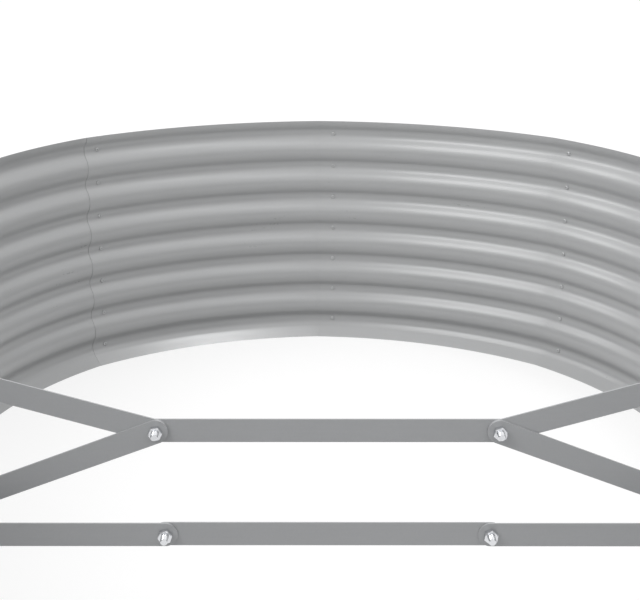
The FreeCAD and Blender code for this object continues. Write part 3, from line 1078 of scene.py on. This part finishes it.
@dataclass
class Braces:
    """The flat-strap braces across the bed, their bolts and their nuts."""

    strap_finish: bpy.types.Material
    bolt_finish: bpy.types.Material
    straps: tuple[str, ...] = (
        "upper_brace_centre_bar", "upper_brace_left_high_arm", "upper_brace_left_low_arm",
        "upper_brace_right_high_arm", "upper_brace_right_low_arm",
        "lower_brace_centre_bar", "lower_brace_left_bar", "lower_brace_right_bar")
    weld: float = 0.005 * MM      # corners this near are one
    flat_degrees: float = 1.0     # facets that turn by less are one face
    edge_round: float = 0.25 * MM
    edge_segments: int = 2
    edge_degrees: float = 40.0    # edges that turn by more are rounded
    split_degrees: float = 20.0   # edges that turn by more stay crisp
    joint_turns: tuple[float, ...] = (0.30, 0.12, 0.42, 0.22)
    wall_turn: float = 0.3

    def build(self) -> None:
        """Dresses the straps and replaces the plain bolts and nuts."""
        for name in self.straps:
            self._dress_strap(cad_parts[name])
        self._joint_bolts()
        self._wall_bolts()

    def _dress_strap(self, node: bpy.types.Object) -> None:
        """Gives one CAD strap its finish and its rolled edges.

        Args:
            node: The strap's object.
        """
        node.data.materials.clear()
        node.data.materials.append(self.strap_finish)
        weld = node.modifiers.new("weld", "WELD")
        weld.merge_threshold = self.weld
        whole = node.modifiers.new("whole_faces", "DECIMATE")
        whole.decimate_type = "DISSOLVE"
        whole.angle_limit = math.radians(self.flat_degrees)
        bevel = node.modifiers.new("edges", "BEVEL")
        bevel.width = self.edge_round
        bevel.segments = self.edge_segments
        bevel.limit_method = "ANGLE"
        bevel.angle_limit = math.radians(self.edge_degrees)
        crisp = node.modifiers.new("flat_faces", "EDGE_SPLIT")
        crisp.split_angle = math.radians(self.split_degrees)
        LOG.info("strap %s dressed", node.name)

    def _joint_bolts(self) -> None:
        """Replaces the four fork and splice bolts with threaded ones."""
        heads: list[Matrix] = []
        nuts: list[Matrix] = []
        bolts = sorted(cad_solids("brace_joint_bolts"), key=lambda box: (box[0].z, box[0].x))
        blocks = sorted(cad_solids("brace_joint_nuts"), key=lambda box: (box[0].z, box[0].x))
        for bolt, block, turn in zip(bolts, blocks, self.joint_turns):
            middle = (bolt[0] + bolt[1]) / 2
            seat = bolt[1].y - JOINT_BOLT.head_height
            heads.append(along_axis(Vector((middle.x, seat, middle.z)), Axis.REAR.value, turn))
            middle = (block[0] + block[1]) / 2
            nuts.append(along_axis(Vector((middle.x, block[1].y, middle.z)),
                                   Axis.REAR.value, turn))
        JOINT_BOLT.pieces("joint_bolts", "joint_nuts", heads, nuts, self.bolt_finish,
                          ("brace_joint_bolts", "brace_joint_nuts"))

    def _wall_bolts(self) -> None:
        """Replaces the six bolts that hold the tabs to the wall."""
        heads: list[Matrix] = []
        nuts: list[Matrix] = []
        for node, places, height in (("brace_wall_bolts", heads, WALL_BOLT.head_height),
                                     ("brace_wall_nuts", nuts, 0.0)):
            for low, high in cad_solids(node):
                middle = (low + high) / 2
                axis = Axis.RIGHT if middle.x > 0 else Axis.LEFT
                outermost = max(abs(low.x), abs(high.x)) - height
                seat = Vector((math.copysign(outermost, middle.x), middle.y, middle.z))
                places.append(along_axis(seat, axis.value, self.wall_turn))
        WALL_BOLT.pieces("wall_bolts", "wall_bolt_nuts", heads, nuts, self.bolt_finish,
                         ("brace_wall_bolts", "brace_wall_nuts"))


# ------------------------------------------------------------------------- studio


@dataclass(frozen=True)
class Softbox:
    """An area light that looks at a point."""

    name: str
    place: tuple[float, float, float]
    target: tuple[float, float, float]
    width: float
    height: float
    power: float

    def build(self) -> None:
        """Hangs the light."""
        data = bpy.data.lights.new(self.name, "AREA")
        data.shape = "RECTANGLE"
        data.size, data.size_y = self.width, self.height
        data.energy = self.power
        lamp = bpy.data.objects.new(self.name, data)
        lamp.location = self.place
        way = Vector(self.target) - Vector(self.place)
        lamp.rotation_mode = "QUATERNION"
        lamp.rotation_quaternion = way.to_track_quat("-Z", "Y")
        bpy.context.collection.objects.link(lamp)


@dataclass(frozen=True)
class Sky:
    """Soft light from all round, brighter from above."""

    above: Colour
    below: Colour
    strength: float
    lowest: float = -0.2          # the light brightens between these two climbs
    highest: float = 0.9

    def build(self) -> None:
        """Makes the world."""
        world = bpy.data.worlds.new("studio")
        world.use_nodes = True
        graph = Graph(world.node_tree)
        way = graph.make("ShaderNodeTexCoord").outputs["Generated"]
        split = graph.make("ShaderNodeSeparateXYZ", {}, {"Vector": way})
        climb = Value(graph, split.outputs["Z"]).ramp(self.lowest, self.highest)
        light = graph.make("ShaderNodeBackground", {}, {
            "Color": graph.blend(self.below, self.above, climb), "Strength": self.strength})
        graph.make("ShaderNodeOutputWorld", {}, {"Surface": light.outputs[0]})
        bpy.context.scene.world = world


@dataclass(frozen=True)
class Floor:
    """A plain white floor that the object throws its shadow on.

    It is white where it is seen, and greyer where it only throws light on the object.
    """

    size: float = 60.0
    drop: float = 0.1 * MM
    seen: Colour = (1.0, 1.0, 1.0)
    lit: Colour = (0.4, 0.4, 0.4)
    glow: float = 0.7             # share of what is seen that is plain white

    def build(self) -> None:
        """Lays the floor just under the ground plane."""
        half = self.size / 2
        corners = [Vector((x * half, y * half, -self.drop))
                   for x, y in ((-1, -1), (1, -1), (1, 1), (-1, 1))]
        mesh = mesh_from("floor", corners, [(0, 1, 2, 3)])
        material = bpy.data.materials.new("floor_white")
        material.use_nodes = True
        graph = Graph(material.node_tree)
        rays = graph.make("ShaderNodeLightPath").outputs
        seen = (Value(graph, rays["Is Camera Ray"]) + Value(graph, rays["Is Glossy Ray"])
                + Value(graph, rays["Is Transmission Ray"])).ramp(0.0, 1.0)
        matt = graph.make("ShaderNodeBsdfDiffuse", {}, {
            "Color": graph.blend(self.lit, self.seen, seen)})
        glow = graph.make("ShaderNodeEmission", {}, {"Color": (*self.seen, 1.0),
                                                     "Strength": 1.0})
        both = graph.make("ShaderNodeMixShader", {}, {0: seen * self.glow, 1: matt.outputs[0],
                                                      2: glow.outputs[0]})
        graph.make("ShaderNodeOutputMaterial", {}, {"Surface": both.outputs[0]})
        add_object("floor", mesh, material, CRISP_DEGREES)


@dataclass(frozen=True)
class Viewpoint:
    """The camera, by the place and lean that the photograph's perspective gives."""

    place: tuple[float, float, float]
    lean_degrees: float
    turn_degrees: float
    focal_px: float
    picture_px: float
    shift: tuple[float, float]
    film: float = 36.0            # millimetres across
    reach: tuple[float, float] = (0.05, 200.0)

    def build(self) -> None:
        """Sets up the camera and makes it the scene's own."""
        lean, turn = math.radians(self.lean_degrees), math.radians(self.turn_degrees)
        right = Vector((math.cos(turn), -math.sin(turn), 0.0))
        ahead = Vector((math.sin(turn) * math.cos(lean), math.cos(turn) * math.cos(lean),
                        -math.sin(lean)))
        up = right.cross(ahead)
        data = bpy.data.cameras.new("camera")
        data.sensor_fit = "HORIZONTAL"
        data.sensor_width = self.film
        data.lens = self.film * self.focal_px / self.picture_px
        data.shift_x, data.shift_y = self.shift
        data.clip_start, data.clip_end = self.reach
        camera = bpy.data.objects.new("camera", data)
        turned = Matrix((right, up, -ahead)).transposed().to_4x4()
        camera.matrix_world = Matrix.Translation(self.place) @ turned
        bpy.context.collection.objects.link(camera)
        bpy.context.scene.camera = camera


VIEWPOINT = Viewpoint(place=(-0.0226, -1.2716, 0.7381), lean_degrees=15.58,
                      turn_degrees=-0.06, focal_px=1360.0, picture_px=640.0,
                      shift=(0.0249, -0.07))
SKY = Sky(above=(1.10, 1.10, 1.10), below=(0.66, 0.66, 0.66), strength=1.0)
SOFTBOXES = (
    Softbox("left_high", (-2.8, -1.25, 3.1), (0.1, 0.7, 0.2), 3.2, 2.0, 58.0),
    Softbox("left_back", (-2.8, 1.5, 1.7), (0.3, 0.6, 0.2), 1.2, 1.2, 14.0),
    Softbox("overhead", (1.27, 0.44, 3.9), (-0.15, 0.85, 0.0), 0.7, 0.7, 22.0),
    Softbox("front_right", (1.6, -2.6, 3.9), (0.0, 0.2, 0.1), 1.2, 1.2, 4.0),
    Softbox("front_low", (0.3, -4.5, 0.9), (0.0, 0.0, 0.2), 2.4, 2.4, 8.0),
)


def main() -> None:
    """Builds the camera, the studio and every dressed piece."""
    logging.basicConfig(level=logging.INFO, format="%(name)s: %(message)s")
    bpy.context.scene.view_settings.view_transform = "Standard"
    VIEWPOINT.build()
    SKY.build()
    for softbox in SOFTBOXES:
        softbox.build()
    Floor().build()
    sheet = WALL_FINISH.build()
    strap = STRAP_FINISH.build()
    plated = ZINC_FINISH.build()
    dull = SCREW_FINISH.build()
    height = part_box("rear_end_panel_1")[1].z
    Wall(Oval(), Wave(height), sheet, dull, SEAM_SCREW).build()
    Braces(strap, plated).build()


if __name__ == "__main__":
    main()
